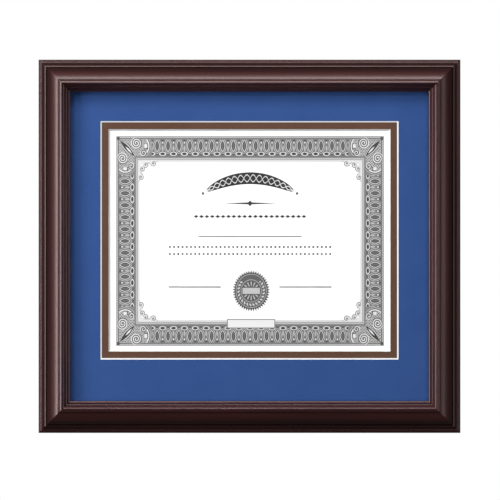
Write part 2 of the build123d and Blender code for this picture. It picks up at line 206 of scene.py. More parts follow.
class Value:
    """One socket among a finish's nodes. Arithmetic on it adds Math nodes."""

    def __init__(self, finish, socket):
        self.finish = finish
        self.socket = socket

    def math(self, operation, *values, clamp=False):
        settings = {"operation": operation, "use_clamp": clamp}
        return self.finish.node("ShaderNodeMath", settings, dict(enumerate(values)))

    def __add__(self, other):
        return self.math("ADD", self, other)

    __radd__ = __add__

    def __sub__(self, other):
        return self.math("SUBTRACT", self, other)

    def __rsub__(self, other):
        return self.math("SUBTRACT", other, self)

    def __mul__(self, other):
        return self.math("MULTIPLY", self, other)

    def __pow__(self, power):
        return self.math("POWER", self, power)

    def __abs__(self):
        return self.math("ABSOLUTE", self)

    def least(self, other):
        return self.math("MINIMUM", self, other)

    def most(self, other):
        return self.math("MAXIMUM", self, other)

    def clipped(self):
        return self.math("ADD", self, 0.0, clamp=True)

    def graded(self, slope, start):
        """self * slope + start, kept between 0 and 1."""
        return self.math("MULTIPLY_ADD", self, slope, start, clamp=True)

    def wrapped(self, period):
        """The distance from the nearest of places a period apart, negative before it."""
        return self.math("WRAP", self, period / 2, -period / 2)

    def sine(self):
        return self.math("SINE", self)

    def root(self):
        return self.math("SQRT", self)

    def angle_to(self, other):
        """Turns from 0 at other's direction, as the arctangent of self over other, in whole turns."""
        return self.math("ARCTAN2", self, other) * (0.5 / math.pi)

    def distance(self, other):
        """The length of the two values taken as a right angle's sides."""
        return self.math("MULTIPLY_ADD", self, self, other * other).root()

    def below(self, limit):
        return self.math("LESS_THAN", self, limit)


class Finish:
    """A material and the nodes that make it."""

    def __init__(self, name):
        self.material = bpy.data.materials.new(name)
        self.material.use_nodes = True
        self.tree = self.material.node_tree
        self.tree.nodes.clear()

    def node(self, kind, settings=None, inputs=None, output=0):
        """Adds a node, sets its settings, then its sockets' values or links. Gives one output."""
        made = self.tree.nodes.new(kind)
        for name, value in (settings or {}).items():
            setattr(made, name, value)
        for name, value in (inputs or {}).items():
            if isinstance(value, Value):
                self.tree.links.new(value.socket, made.inputs[name])
            else:
                made.inputs[name].default_value = value
        return Value(self, made.outputs[output])

    def place(self):
        return self.node("ShaderNodeTexCoord", output="Object")

    def attribute(self, name):
        return self.node("ShaderNodeAttribute", {"attribute_name": name}, output="Vector")

    def axes(self, vector):
        """The three parts of a vector."""
        first = self.node("ShaderNodeSeparateXYZ", inputs={"Vector": vector})
        return [Value(self, socket) for socket in first.socket.node.outputs]

    def noise(self, vector, sizes, detail=2.0, roughness=0.5):
        """Cloudy noise, mostly between 0.3 and 0.7, about sizes across along the three axes."""
        scale = tuple(1 / size for size in sizes)
        stretched = self.node("ShaderNodeMapping", inputs={"Vector": vector, "Scale": scale})
        inputs = {"Vector": stretched, "Scale": 1.0, "Detail": detail, "Roughness": roughness}
        return self.node("ShaderNodeTexNoise", inputs=inputs, output="Fac")

    def contrast(self, value, low, high):
        """Spreads the stretch of a value from low to high over 0 to 1."""
        return value.graded(1 / (high - low), -low / (high - low))

    def blend(self, share, first, second):
        """The first colour where share is 0 and the second where it is 1."""
        return self.node("ShaderNodeMix", {"data_type": "RGBA"}, {0: share, 6: first, 7: second}, output=2)

    def bump(self, height, depth):
        return self.node("ShaderNodeBump", inputs={"Height": height, "Distance": depth}, output="Normal")

    def surface(self, **inputs):
        """Ends in a Principled surface; a socket's name is written with _ for each space."""
        named = {name.replace("_", " "): value for name, value in inputs.items()}
        return self.show(self.node("ShaderNodeBsdfPrincipled", inputs=named))

    def show(self, shader):
        """Ends in a shader and gives the finished material."""
        output = self.tree.nodes.new("ShaderNodeOutputMaterial")
        self.tree.links.new(shader.socket, output.inputs["Surface"])
        return self.material


def seen(red, green, blue):
    """The reflectance that looks like this 8-bit colour where a perfect white is PAPER_LIGHT bright."""
    level = np.array([red, green, blue]) / 255
    linear = np.where(level <= 0.04045, level / 12.92, ((level + 0.055) / 1.055) ** 2.4)
    return (*(linear / PAPER_LIGHT).tolist(), 1.0)


def stained_wood():
    """Dark red-brown stained and lacquered wood: streaks and pores run along the grain attribute. The stain
    attribute says where the wood is bare and how much of the stain shows through the dark matt glaze; low
    weights also paint shade into the grooves, and weights above 1 paint light on the members they lie on."""
    finish = Finish("stained_wood")
    grain = finish.attribute("grain")
    bare, glaze_and_painted_shading = finish.axes(finish.attribute("stain"))[:2]
    gloss = glaze_and_painted_shading.clipped()
    figure = finish.contrast(finish.noise(grain, (0.14, 0.009, 0.009), detail=3.0), 0.32, 0.68)
    fibres = finish.contrast(finish.noise(grain, (0.022, 0.0007, 0.0007), detail=3.0), 0.3, 0.7)
    pores = finish.contrast(finish.noise(grain, (0.0075, 0.00028, 0.00028), detail=1.0), 0.62, 0.74)
    stain = finish.blend(figure, (0.027, 0.0068, 0.0067, 1), (0.043, 0.0109, 0.0107, 1))
    stain = finish.blend(fibres * 0.3, stain, (0.02, 0.005, 0.005, 1))
    stain = finish.blend(pores * 0.5, stain, (0.01, 0.0026, 0.0025, 1))
    # painted shade and light: the glaze weight darkens the stain towards black in the grooves and leaves it
    # lighter on members weighted above 1
    stain = finish.blend(glaze_and_painted_shading * 0.8, (0, 0, 0, 1), stain)
    pale = finish.blend(figure, (0.36, 0.24, 0.14, 1), (0.46, 0.32, 0.2, 1))
    pale = finish.blend(fibres * 0.5, pale, (0.27, 0.17, 0.095, 1))
    return finish.surface(
        Base_Color=finish.blend(bare, stain, pale),
        Roughness=0.33 + fibres * 0.05 + pores * 0.08 + bare * 0.35 + (1 - gloss) * 0.2,
        Specular_IOR_Level=0.4,
        Specular_Tint=(1.0, 0.68, 0.66, 1),
        Coat_Weight=(1 - bare) * gloss * 0.3,
        Coat_Roughness=0.21,
        Normal=finish.bump(fibres * 0.35 - pores, 0.002 * MM),
    )


def mat_paper(name, node, colour, fleck):
    """Matt faced paper: a soft mottle, short flecks of fibre and a fine tooth. Its cut edges are white."""
    finish = Finish(name)
    place = finish.place()
    on_face = finish.axes(place)[1].below(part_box(node)[0].y + 0.02 * MM)
    mottle = finish.contrast(finish.noise(place, (0.02, 0.02, 0.02), detail=4.0), 0.3, 0.7)
    fibres = finish.contrast(finish.noise(place, (0.0016, 0.0016, 0.0004), detail=2.0), 0.45, 0.75)
    tooth = finish.noise(place, (0.00035, 0.00035, 0.00035), detail=2.0)
    base = finish.blend(mottle * 0.22, colour, fleck)
    base = finish.blend(fibres * 0.25, base, fleck)
    return finish.surface(
        Base_Color=finish.blend(on_face, (0.8, 0.8, 0.79, 1), base),
        Roughness=0.82 + tooth * 0.16,
        Specular_IOR_Level=0.08,
        Normal=finish.bump(tooth + fibres * 0.3, 0.03 * MM),
    )


def board_core(name, white, painted_glow):
    """The white core of a mat where the knife has cut it: fine layers along the board. It glows though it is
    no lamp: painted light that brightens its shaded bevels, fading towards the back, so that the foot of
    each bevel gets painted shade."""
    finish = Finish(name)
    place = finish.place()
    front, back = (corner.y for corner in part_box(name))
    # painted glow share: 1 at the front of the core, 0 at the back
    painted_glow_share = finish.contrast(finish.axes(place)[1], back, front)
    layers = finish.contrast(finish.noise(place, (0.006, 0.00012, 0.006), detail=2.0), 0.3, 0.7)
    drag = finish.contrast(finish.noise(place, (0.0009, 0.0009, 0.0009), detail=3.0), 0.35, 0.65)
    clean, dull = ((level, level, level, 1) for level in (white, white * 0.9))
    return finish.surface(
        Base_Color=finish.blend(layers * 0.5 + drag * 0.5, clean, dull),
        # painted light: an emitted glow in place of light that the bevels don't get
        Emission_Color=finish.blend(painted_glow_share, (0, 0, 0, 1), (1, 1, 1, 1)),
        Emission_Strength=painted_glow,
        Roughness=0.85 + drag * 0.1,
        Specular_IOR_Level=0.2,
        Normal=finish.bump(layers, 0.01 * MM),
    )


def plain_board(name, colour, fleck, fleck_size):
    """Pressed board: cloudy colour and specks of fibre."""
    finish = Finish(name)
    place = finish.place()
    cloud = finish.contrast(finish.noise(place, (0.03, 0.03, 0.03), detail=5.0), 0.3, 0.7)
    specks = finish.contrast(finish.noise(place, (fleck_size,) * 3, detail=3.0, roughness=0.7), 0.42, 0.66)
    base = finish.blend(specks * 0.6 + cloud * 0.25, colour, fleck)
    return finish.surface(
        Base_Color=base,
        Roughness=0.55 + specks * 0.25,
        Normal=finish.bump(specks, 0.03 * MM),
    )


def plated_metal(name, colour, dull):
    """Plated and tumbled metal: cloudy tarnish, and a fine peppering that breaks up its shine."""
    finish = Finish(name)
    place = finish.place()
    cloud = finish.contrast(finish.noise(place, (0.005, 0.005, 0.005), detail=4.0), 0.35, 0.65)
    pepper = finish.contrast(finish.noise(place, (0.0004, 0.0004, 0.0004), detail=3.0), 0.35, 0.65)
    return finish.surface(
        Base_Color=finish.blend(cloud * 0.6 + pepper * 0.2, colour, dull),
        Metallic=1.0,
        Roughness=0.22 + pepper * 0.14 + cloud * 0.08,
        Normal=finish.bump(pepper, 0.004 * MM),
    )


def moulded_rubber():
    """Matt dark rubber with a dusty bloom and a fine moulded grain."""
    finish = Finish("moulded_rubber")
    place = finish.place()
    bloom = finish.contrast(finish.noise(place, (0.003, 0.003, 0.003), detail=4.0), 0.4, 0.7)
    grain = finish.noise(place, (0.0003, 0.0003, 0.0003), detail=2.0)
    return finish.surface(
        Base_Color=finish.blend(bloom, (0.018, 0.018, 0.019, 1), (0.05, 0.05, 0.052, 1)),
        Roughness=0.62 + grain * 0.2,
        Normal=finish.bump(grain, 0.02 * MM),
    )


def clear_sheet(name, gloss_roughness):
    """Coated clear glass or film: what is behind it shows, and it mirrors 0.004 of the light head on, rising
    by 0.06 of it at a glance, by the fifth power of one less the cosine."""
    finish = Finish(name)
    through = finish.node("ShaderNodeBsdfTransparent", inputs={"Color": (1, 1, 1, 1)})
    shine = finish.node("ShaderNodeBsdfGlossy", inputs={"Color": (1, 1, 1, 1), "Roughness": gloss_roughness})
    glance = finish.node("ShaderNodeLayerWeight", inputs={"Blend": 0.5}, output="Facing")
    share = glance**5 * 0.06 + 0.004
    return finish.show(finish.node("ShaderNodeMixShader", inputs={0: share, 1: through, 2: shine}))


def pale_floor():
    """A plain pale floor, faintly clouded, that fades into the backdrop all round."""
    finish = Finish("pale_floor")
    place = finish.place()
    x, y = finish.axes(place)[:2]
    cloud = finish.noise(place, (0.2, 0.2, 0.2), detail=4.0)
    return finish.surface(
        Base_Color=finish.blend(cloud, (0.84, 0.84, 0.83, 1), (0.88, 0.88, 0.87, 1)),
        Roughness=0.7 + cloud * 0.2,
        Alpha=finish.contrast(x.distance(y), FLOOR_REACH, FLOOR_REACH / 4),
    )


class Page(Finish):
    """Paper printed with one grey shape over another, in millimetres on the design. The border is drawn once:
    the page is folded about both middles and about each corner's diagonal, so that v runs in from the
    nearest edge of the border and s along that edge from the nearest corner."""

    def __init__(self, name):
        super().__init__(name)
        x, self.depth, z = self.axes(self.place())
        self.x = x * (1 / MM) - PRINT_SHIFT
        self.y = (z * (1 / MM) - PRINT_RISE) * (1 / PRINT_STRETCH)
        from_side = PRINT_HALF_WIDTH - abs(self.x)
        from_end = PRINT_HALF_HEIGHT - abs(self.y)
        self.v = from_side.least(from_end)
        self.s = from_side.most(from_end)
        self.tone = self.v * 0 + 1

    def inside(self, distance):
        """1 where the distance is positive, with an inked edge's softness."""
        return distance.graded(1 / PRINT_SOFT, 0.5)

    def between(self, value, low, high):
        return self.inside((value - low).least(high - value))

    def line(self, distance, half_width):
        return self.inside(half_width - abs(distance))

    def lay(self, mask, grey):
        """Covers what is printed so far with a grey, where the mask is 1."""
        level = seen(grey, grey, grey)[0] / PAPER_WHITE
        self.tone = self.node("ShaderNodeMix", {"data_type": "FLOAT"}, {0: mask, 2: self.tone, 3: level})

    def scroll(self, s, v, radius, gap, half_width, ground, ribbon):
        """A wound ribbon on a round ground, with a dark eye: its turns are gap apart."""
        across, along = self.s - s, self.v - v
        reach = across.distance(along)
        wound = (reach - along.angle_to(across) * gap).wrapped(gap)
        within = self.inside(radius - reach)
        self.lay(within, ground)
        self.lay(self.line(wound, half_width) * within, ribbon)
        self.lay(self.inside(0.5 - reach), 90)


def print_strips(page):
    """A dashed strip and a dark line along each edge of the border."""
    v, dash = page.v, abs(page.s.wrapped(1.9))
    page.lay(page.between(v, 0.0, 1.6), 166)
    page.lay(page.inside((0.6 - dash).least(0.3 - abs(v - 1.2))), 206)
    page.lay(page.between(v, 1.6, BAND[0]), 122)
    page.lay(page.inside((0.6 - dash).least(0.3 - abs(v - 2.0))), 100)
    page.lay(page.between(v, *BAND), 128)
    page.lay(page.between(v, BAND[1], 17.0), 148)
    page.lay(page.inside((0.6 - dash).least(0.35 - abs(v - 16.1))), 100)
    page.lay(page.between(v, 17.0, 18.7), 178)
    page.lay(page.inside((0.6 - dash).least(0.3 - abs(v - 17.5))), 214)
    page.lay(page.between(v, 18.7, 20.2), 230)


def print_band(page):
    """The guilloche: dark almonds inside nested outlines that cross at the edges, and in each gap a bar, a
    bead, a tongue and a ringed eye."""
    v, off_column = page.v, abs((page.s - LENS_START).wrapped(LENS_PERIOD))
    off_gap = LENS_PERIOD / 2 - off_column
    band = page.between(v, *BAND) * page.inside(page.s - CORNER_LENGTH)
    almond = (off_column + 4.3).distance(v - 7.6) - 4.3
    eye = (off_gap * (1 / 2.3)).distance((v - 13.8) * (1 / 1.25))
    tongue = (((v - 7.2) * (1 / 5.0)).clipped() * math.pi).sine()
    page.lay(page.inside(3.75 - almond) * band, 94)
    page.lay(page.line(almond - 3.2, 0.24) * band, 212)
    page.lay(page.inside(2.9 - almond) * band, 104)
    page.lay(page.line(almond - 1.95, 0.26) * band, 228)
    page.lay(page.inside(1.6 - almond) * band, 96)
    page.lay(page.line(off_column, 0.3) * page.inside(0.9 - almond), 126)
    page.lay(page.inside(tongue * 0.85 - off_gap) * band, 190)
    page.lay(page.inside(0.65 - off_gap.distance(v - 5.1)) * band, 240)
    page.lay(page.inside((0.9 - off_gap).least(0.7 - abs(v - 3.4))) * band, 92)
    page.lay(page.inside(1.6 - eye) * band, 104)
    page.lay(page.line(eye - 1.1, 0.22) * band, 232)
    page.lay(page.inside(0.55 - eye) * band, 70)
    page.lay(page.inside(0.8 - off_column.distance(v - 14.4)) * band, 96)


def print_corners(page):
    """Each corner of the border: scrolls, a wedge and a dividing arc round a leaf on the diagonal."""
    v, s = page.v, page.s
    corner = page.between(v, *BAND) * page.inside(CORNER_LENGTH - s)
    pebble = s.wrapped(2.3).distance(v.wrapped(2.3))
    page.lay(page.line(pebble - 0.8, 0.2) * corner, 226)
    page.lay(page.inside(0.42 - pebble) * corner, 84)
    divide = (s - 20.0).distance(v - 7.8)
    beyond = page.inside(s - 24.0) * corner
    page.lay(page.inside(divide - 8.2) * beyond, 142)
    page.lay(page.line(divide - 8.0, 0.38) * beyond, 255)
    page.lay(page.line(divide - 8.8, 0.24) * beyond, 70)
    page.lay(page.line(divide - 9.5, 0.2) * beyond, 206)
    page.lay(page.between(s, 24.1, 27.3) * page.between(v, 6.4, 9.9), 84)
    page.lay(page.between(s, 24.1, 26.6) * page.between(v, 6.4, 9.2), 240)
    page.scroll(23.3, 13.0, 2.8, 1.7, 0.32, 112, 245)
    page.scroll(17.3, 5.4, 4.6, 1.7, 0.36, 108, 250)
    diagonal = (s + v) * math.sqrt(0.5)
    off_diagonal = (s - v) * math.sqrt(0.5)
    stem = (((diagonal - 4.8) * (1 / 17.6)).clipped() * math.pi).sine() ** 0.75 - 0.05
    streak = (((diagonal - 11.0) * (1 / 8.5)).clipped() * math.pi).sine() - 0.1
    page.lay(page.inside(stem * 3.0 - off_diagonal), 84)
    page.lay(page.inside(stem * 2.5 - off_diagonal), 250)
    page.lay(page.inside(stem * 1.95 - off_diagonal), 72)
    page.lay(page.inside(streak * 0.75 - off_diagonal), 240)
    page.lay(page.inside(1.1 - (s - 1.9).most(v - 1.9)) * page.inside(v - 0.7), 84)
    page.lay(page.between(v, BAND[1], BAND[1] + 0.5), 118)


def print_curls(page):
    """Fine curls inside each corner of the border, linked by a waved line."""
    s, v = page.s, page.v
    page.lay(page.inside(1.4 - abs(v - 20.4)) * page.between(s, 20.6, 33.4), 236)
    page.scroll(25.4, 22.2, 2.5, 1.75, 0.3, 234, 138)
    page.scroll(31.9, 21.2, 2.5, 1.75, 0.3, 234, 138)
    wave = ((s - 28.7) * (math.pi / 2.4)).sine() * 1.2
    page.lay(page.line(v - 21.7 - wave, 0.28) * page.between(s, 27.3, 30.1), 134)
    page.lay(page.line((s - 34.6) * 0.7 + v - 20.0, 0.22) * page.between(s, 33.4, 35.6), 160)
    page.lay(page.inside(0.4 - (s - 36.3).distance(v - 21.4)), 205)


def print_middle(page):
    """Plain generic ornament: an arched plait, a flourish, a row of lozenges, rules and rows of beads."""
    x, y, side = page.x, page.y, abs(page.x)
    turn = x.angle_to(y + 25.3) * (2 * math.pi)
    off_arch = x.distance(y + 25.3) - 74.0
    taper = (1 - (turn * (1 / 0.53)) * (turn * (1 / 0.53))).most(0.0).root()
    arch = page.inside(taper * 4.6 - abs(off_arch)) * page.inside(y)
    weave = (turn * 44.0).sine() * taper * 2.7
    ends = abs(abs(turn * 74.0) - 42.4)
    page.lay(arch, 58)
    page.lay(page.line(off_arch - weave, 0.4) * arch, 236)
    page.lay(page.line(off_arch + weave, 0.4) * arch, 236)
    page.lay(page.inside(1.3 - ends - abs(off_arch)) * page.inside(y), 70)
    page.lay(page.inside(0.85 - side * 0.036 - abs(y - 29.2)), 76)
    page.lay(page.inside(2.3 - side - abs(y - 29.2)), 60)
    lozenge = abs(x.wrapped(4.6)) * 0.6 + abs(y - 19.0)
    page.lay(page.inside(1.25 - lozenge) * page.inside(48.4 - side), 66)
    page.lay(page.line(y - 3.5, 0.34) * page.inside(44.0 - side), 72)
    for row in (-4.65, -10.1):
        page.lay(page.inside(0.85 - x.wrapped(3.6).distance(y - row)) * page.inside(70.0 - side), 84)
    page.lay(page.line(y + 35.7, 0.42) * page.between(side, 25.0, 69.5), 58)


def print_seal(page):
    """A serrated seal: a wreath of leaves round a dark disc with a plain band across it, and a blank plate
    in the border below."""
    x, y = page.x - 1.0, page.y + 38.7
    reach = x.distance(y)
    turn = x.angle_to(y)
    tooth = abs((turn * 46.0).wrapped(1.0)) * 4.6
    leaf = (turn * 26.0 + reach * 0.16).wrapped(1.0) * 2.6
    rays = abs((turn * 14.0).wrapped(1.0)) * 2.4
    page.lay(page.inside(16.1 - tooth - reach), 80)
    page.lay(page.inside(13.2 - reach), 184)
    page.lay(page.inside(12.7 - reach), 104)
    page.lay(page.inside(0.75 - leaf.distance((reach - 10.8) * 0.7)) * page.inside(7.6 - y), 214)
    page.lay(page.inside(8.9 - reach), 176)
    page.lay(page.inside(8.3 - reach), 94)
    page.lay(page.inside(0.45 - rays) * page.between(reach, 3.6, 7.2), 190)
    page.lay(page.inside((8.1 - abs(x)).least(3.0 - abs(y))), 84)
    page.lay(page.inside((7.4 - abs(x)).least(2.4 - abs(y))), 204)
    plate = (20.2 - abs(page.x - 0.9)).least(3.3 - abs(page.y + 64.15))
    page.lay(page.inside(plate + 0.35), 140)
    page.lay(page.inside(plate - 0.35), 246)


def printed_paper():
    """The certificate: its print over smooth paper with a faint fibre."""
    page = Page("printed_paper")
    for draw in (print_strips, print_band, print_corners, print_curls, print_middle, print_seal):
        draw(page)
    fibres = page.contrast(page.noise(page.place(), (0.0012, 0.0012, 0.0003), detail=3.0), 0.4, 0.7)
    printed = 1 - (1 - page.tone) * page.depth.below(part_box("certificate")[0].y + 0.1 * MM)
    paper = page.blend(fibres * 0.3, (PAPER_WHITE, PAPER_WHITE, PAPER_WHITE, 1), (0.9, 0.9, 0.89, 1))
    return page.surface(
        Base_Color=page.blend(printed, (0.0, 0.0, 0.0, 1), paper),
        Roughness=0.62 + fibres * 0.15,
        Specular_IOR_Level=0.1,
        Normal=page.bump(fibres, 0.008 * MM),
    )


def grid_faces(rows, columns, close_rows=False, close_columns=False):
    """Lists the four-cornered faces between the neighbouring points of a grid, by the points' numbers."""
    row, column = np.meshgrid(
        np.arange(rows if close_rows else rows - 1),
        np.arange(columns if close_columns else columns - 1),
        indexing="ij",
    )
    next_row = (row + 1) % rows
    next_column = (column + 1) % columns
    corners = [
        row * columns + column,
        next_row * columns + column,
        next_row * columns + next_column,
        row * columns + next_column,
    ]
    return np.stack(corners, axis=-1).reshape(-1, 4).tolist()


def add_piece(name, surfaces, material, replaced, body="frame", sharp=32.0, attributes=None):
    """A mesh from (points, faces) surfaces, with its doubles merged, its faces turned outwards and its
    edges kept sharp past an angle in degrees. It rides on a body and stands for CAD nodes."""
    points, faces = [], []
    for surface_points, surface_faces in surfaces:
        start = sum(len(part) for part in points)
        points.append(surface_points)
        faces += [[start + corner for corner in face] for face in surface_faces]
    mesh = bpy.data.meshes.new(name)
    mesh.from_pydata(np.concatenate(points).tolist(), [], faces)
    for label, values in (attributes or {}).items():
        mesh.attributes.new(label, "FLOAT_VECTOR", "POINT").data.foreach_set("vector", values.ravel())
    shell = bmesh.new()
    shell.from_mesh(mesh)
    bmesh.ops.remove_doubles(shell, verts=shell.verts, dist=0.0005 * MM)
    bmesh.ops.recalc_face_normals(shell, faces=shell.faces)
    shell.to_mesh(mesh)
    shell.free()
    mesh.shade_smooth()
    mesh.set_sharp_from_angle(angle=math.radians(sharp))
    mesh.materials.append(material)
    made = bpy.data.objects.new(name, mesh)
    bpy.context.scene.collection.objects.link(made)
    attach(made, body)
    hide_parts(*replaced)


def stand(points, origin, along):
    """Moves local points to the back of the frame: y runs along, z to the wall, x square to both."""
    across = np.cross(along, TO_WALL)
    return origin + points[..., 0:1] * across + points[..., 1:2] * along + points[..., 2:3] * TO_WALL


def moulding_section():
    """The moulding's closed outline as points (u, h), u in from the outer edge and h up from the back, with
    (bare, stain, 0) weights for the stretch that ends at each point; the stain weight is the glaze together
    with painted shade and painted light. A member is an arc on its chord: at angle a from its middle it is
    radius * sin(a) along the chord and radius * (cos(a) - cos(end)) proud."""
    here = np.array([0.0, EDGE_HEIGHT])
    points = [[(0, 0), (0, STAIN_CREEP), here]]
    weights = [[(1, 1, 0), (0, 1, 0), (0, 1, 0)]]
    for width, rise, bulge, stain in MOULDING:
        run = np.array([width, rise]) * MM
        chord = np.hypot(*run)
        direction = run / chord
        proud = np.array([-direction[1], direction[0]])
        end = 2 * math.atan(2 * bulge * MM / chord)
        angle = np.linspace(-end, end, math.ceil(2 * abs(end) / ARC_STEP) + 2)[1:, None]
        if end == 0:
            along = np.linspace(0, 1, len(angle) + 1)[1:, None]
            lift = 0 * angle
        else:
            along = (1 + np.sin(angle) / math.sin(end)) / 2
            lift = (np.cos(angle) - math.cos(end)) / (2 * math.sin(end))
        points.append(here + chord * (direction * along + proud * lift))
        # the stain weight: a dark glaze, with painted shade where it is low and painted light where it is
        # above 1
        weights.append(np.tile((0, stain, 0), (len(angle), 1)))
        here = here + run
    points.append([
        (RAIL_WIDTH, SEAT), (RAIL_WIDTH - STAIN_CREEP, SEAT), (RABBET_WALL, SEAT), (RABBET_WALL, 0),
    ])
    weights.append([(0, 1, 0), (1, 1, 0), (1, 1, 0), (1, 1, 0)])
    return np.concatenate(points), np.concatenate(weights).astype(float)


def moulding_rail(side, material):
    """The section carried along one side and cut at both mitres, where along = half - u. Each end closes in
    by the mitre's ease over the mitre's run, so that the joint shows as a fine line."""
    section, weights = moulding_section()
    inward = INWARD[side]
    along = np.cross(inward, -TO_WALL)
    half = HALF_WIDTH if inward[0] == 0 else HALF_HEIGHT
    before, after = np.roll(section, 1, axis=0), np.roll(section, -1, axis=0)
    tangent = after - before
    outward = np.stack([-tangent[:, 1], tangent[:, 0]], axis=1)
    outward /= np.linalg.norm(outward, axis=1, keepdims=True)
    eased = section - outward * MITRE_EASE
    rows, places = [], []
    ends = [(-1, eased, 0.0), (-1, section, MITRE_RUN), (1, section, MITRE_RUN), (1, eased, 0.0)]
    for end, outline, run in ends:
        reach = end * (half - outline[:, 0] - run)
        rows.append(
            (HALF_WIDTH if inward[0] else HALF_HEIGHT) * -inward
            + along * reach[:, None]
            + inward * outline[:, 0:1]
            + TO_WALL * (BACK_Y - outline[:, 1:2])
        )
        places.append(np.column_stack([reach, outline]))
    count = len(section)
    faces = grid_faces(len(rows), count, close_columns=True)
    faces += [list(range(count)), list(range(3 * count, 4 * count))]
    offset = np.array([list(INWARD).index(side) * 0.7, 0.03, 0.05])
    # the stain attribute carries each member's glaze weight, with its painted shade and painted light
    attributes = {"grain": np.concatenate(places) + offset, "stain": np.tile(weights, (len(rows), 1))}
    surface = (np.concatenate(rows), faces)
    name, rail = f"{side}_moulding", f"{side}_rail"
    add_piece(name, [surface], material, [rail], sharp=8.0, attributes=attributes)


def v_nail(corner, place):
    """An L of strip steel, its six-cornered outline carried from the back into the wood."""
    side_x, side_z = CORNERS[corner]
    leg, edge = V_NAIL_LEG, V_NAIL_THICKNESS / 2
    outline = np.array([(-edge, -edge), (leg, -edge), (leg, edge), (edge, edge), (edge, leg), (-edge, leg)])
    x = side_x * (HALF_WIDTH - place - outline[:, 0])
    z = side_z * (HALF_HEIGHT - place - outline[:, 1])
    depths = (BACK_Y + V_NAIL_PROUD, BACK_Y - V_NAIL_DEPTH)
    rows = [np.column_stack([x, np.full(6, y), z]) for y in depths]
    faces = grid_faces(2, 6, close_columns=True) + [list(range(6)), list(range(6, 12))]
    return np.concatenate(rows), faces


def screw(origin, turn, grip):
    """A pan-head screw on the back: rings of a domed head, with a cross pressed into it, then the rim, the
    shank and the point. The cross is the lesser distance into either of two crossed slots."""
    dome_rise = SCREW_HEAD_HEIGHT - SCREW_HEAD_RIM
    dome = (SCREW_HEAD_RADIUS**2 + dome_rise**2) / (2 * dome_rise)
    reach = np.linspace(0, SCREW_HEAD_RADIUS, 26)[:, None]
    angle = np.linspace(0, 2 * math.pi, 72, endpoint=False)[None, :]
    x, y = reach * np.cos(angle), reach * np.sin(angle)

    def slot(along, across):
        inside = np.minimum(RECESS_REACH - abs(along), RECESS_HALF_WIDTH - abs(across))
        return np.clip(inside / RECESS_SOFTNESS + 0.5, 0, 1)

    pressed = np.maximum(slot(x, y), slot(y, x)) * RECESS_DEPTH
    height = grip + SCREW_HEAD_HEIGHT - dome + np.sqrt(dome**2 - reach**2) - pressed
    head = np.stack([x, y, height + 0 * x], axis=-1)
    below = np.array([
        (SCREW_HEAD_RADIUS, grip + SCREW_HEAD_RIM * 0.5),
        (SCREW_HEAD_RADIUS, grip),
        (SCREW_RADIUS, grip),
        (SCREW_RADIUS, SCREW_POINT - SCREW_BITE),
        (0.0, -SCREW_BITE),
    ])[:, None, :]
    shank = np.stack(np.broadcast_arrays(
        below[..., 0] * np.cos(angle), below[..., 0] * np.sin(angle), below[..., 1]
    ), axis=-1)
    rings = np.concatenate([head, shank])
    turned = np.array([math.sin(turn), 0.0, math.cos(turn)])
    faces = grid_faces(*rings.shape[:2], close_columns=True)
    return stand(rings, origin, turned).reshape(-1, 3), faces


def turn_button(name, pivot, inward, material):
    """A pear-shaped plate pointing inward from its pivot. Its outline is two circles and their tangents, by
    the direction it faces; rings of that outline shrink to the line between the circles' middles, on
    top and underneath, with a rounded edge between. A pressed rib lifts the top by a smooth step."""
    lean = math.asin((BUTTON_PIVOT_END - BUTTON_TIP_END) / BUTTON_REACH)
    tip = np.linspace(lean, math.pi - lean, 25)
    broad = np.linspace(math.pi - lean, 2 * math.pi + lean, 41)
    facing = np.concatenate([tip, broad])
    radius = np.where(np.arange(len(facing)) < len(tip), BUTTON_TIP_END, BUTTON_PIVOT_END)
    middle = np.where(np.arange(len(facing)) < len(tip), BUTTON_REACH, 0.0)
    flat = 24  # rings on each face, inside its rounded edge
    round_edge = np.linspace(0, math.pi / 2, 5)
    edge_height = BUTTON_THICKNESS - BUTTON_EDGE * (1 - np.cos(round_edge))
    inset = np.concatenate([np.full(flat, BUTTON_EDGE), BUTTON_EDGE * (1 - np.sin(round_edge))])
    height = np.concatenate([np.full(flat, BUTTON_THICKNESS), edge_height])
    shrink = np.concatenate([np.linspace(0, 1, flat + 1)[:-1], np.ones(len(round_edge))])
    inset, height, shrink = (np.concatenate([part, part[::-1]])[:, None] for part in (inset, height, shrink))
    under = (np.arange(len(height)) >= len(height) // 2)[:, None]
    height = np.where(under, BUTTON_THICKNESS - height, height)
    reach = (radius - inset) * shrink
    x = reach * np.cos(facing)
    y = middle + reach * np.sin(facing)
    off_rib = np.hypot(x, y - np.clip(y, BUTTON_RIB_FROM, BUTTON_RIB_TO))
    step = np.clip((BUTTON_RIB_HALF_WIDTH - off_rib) / BUTTON_RIB_SOFTNESS, 0, 1)
    rib = np.where(under, 0, BUTTON_RIB_HEIGHT * step * step * (3 - 2 * step))
    rings = np.stack([x, y, BUTTON_PLAY + height + rib], axis=-1)
    surface = (stand(rings, pivot, inward).reshape(-1, 3), grid_faces(*x.shape, close_columns=True))
    add_piece(f"{name}_plate", [surface], material, [name], body=name)


def arc_points(middle, radius, start, end, steps):
    """Points on a round arc, from one angle to another."""
    angle = np.linspace(start, end, steps)
    return np.column_stack([middle[0] + radius * np.cos(angle), middle[1] + radius * np.sin(angle)])


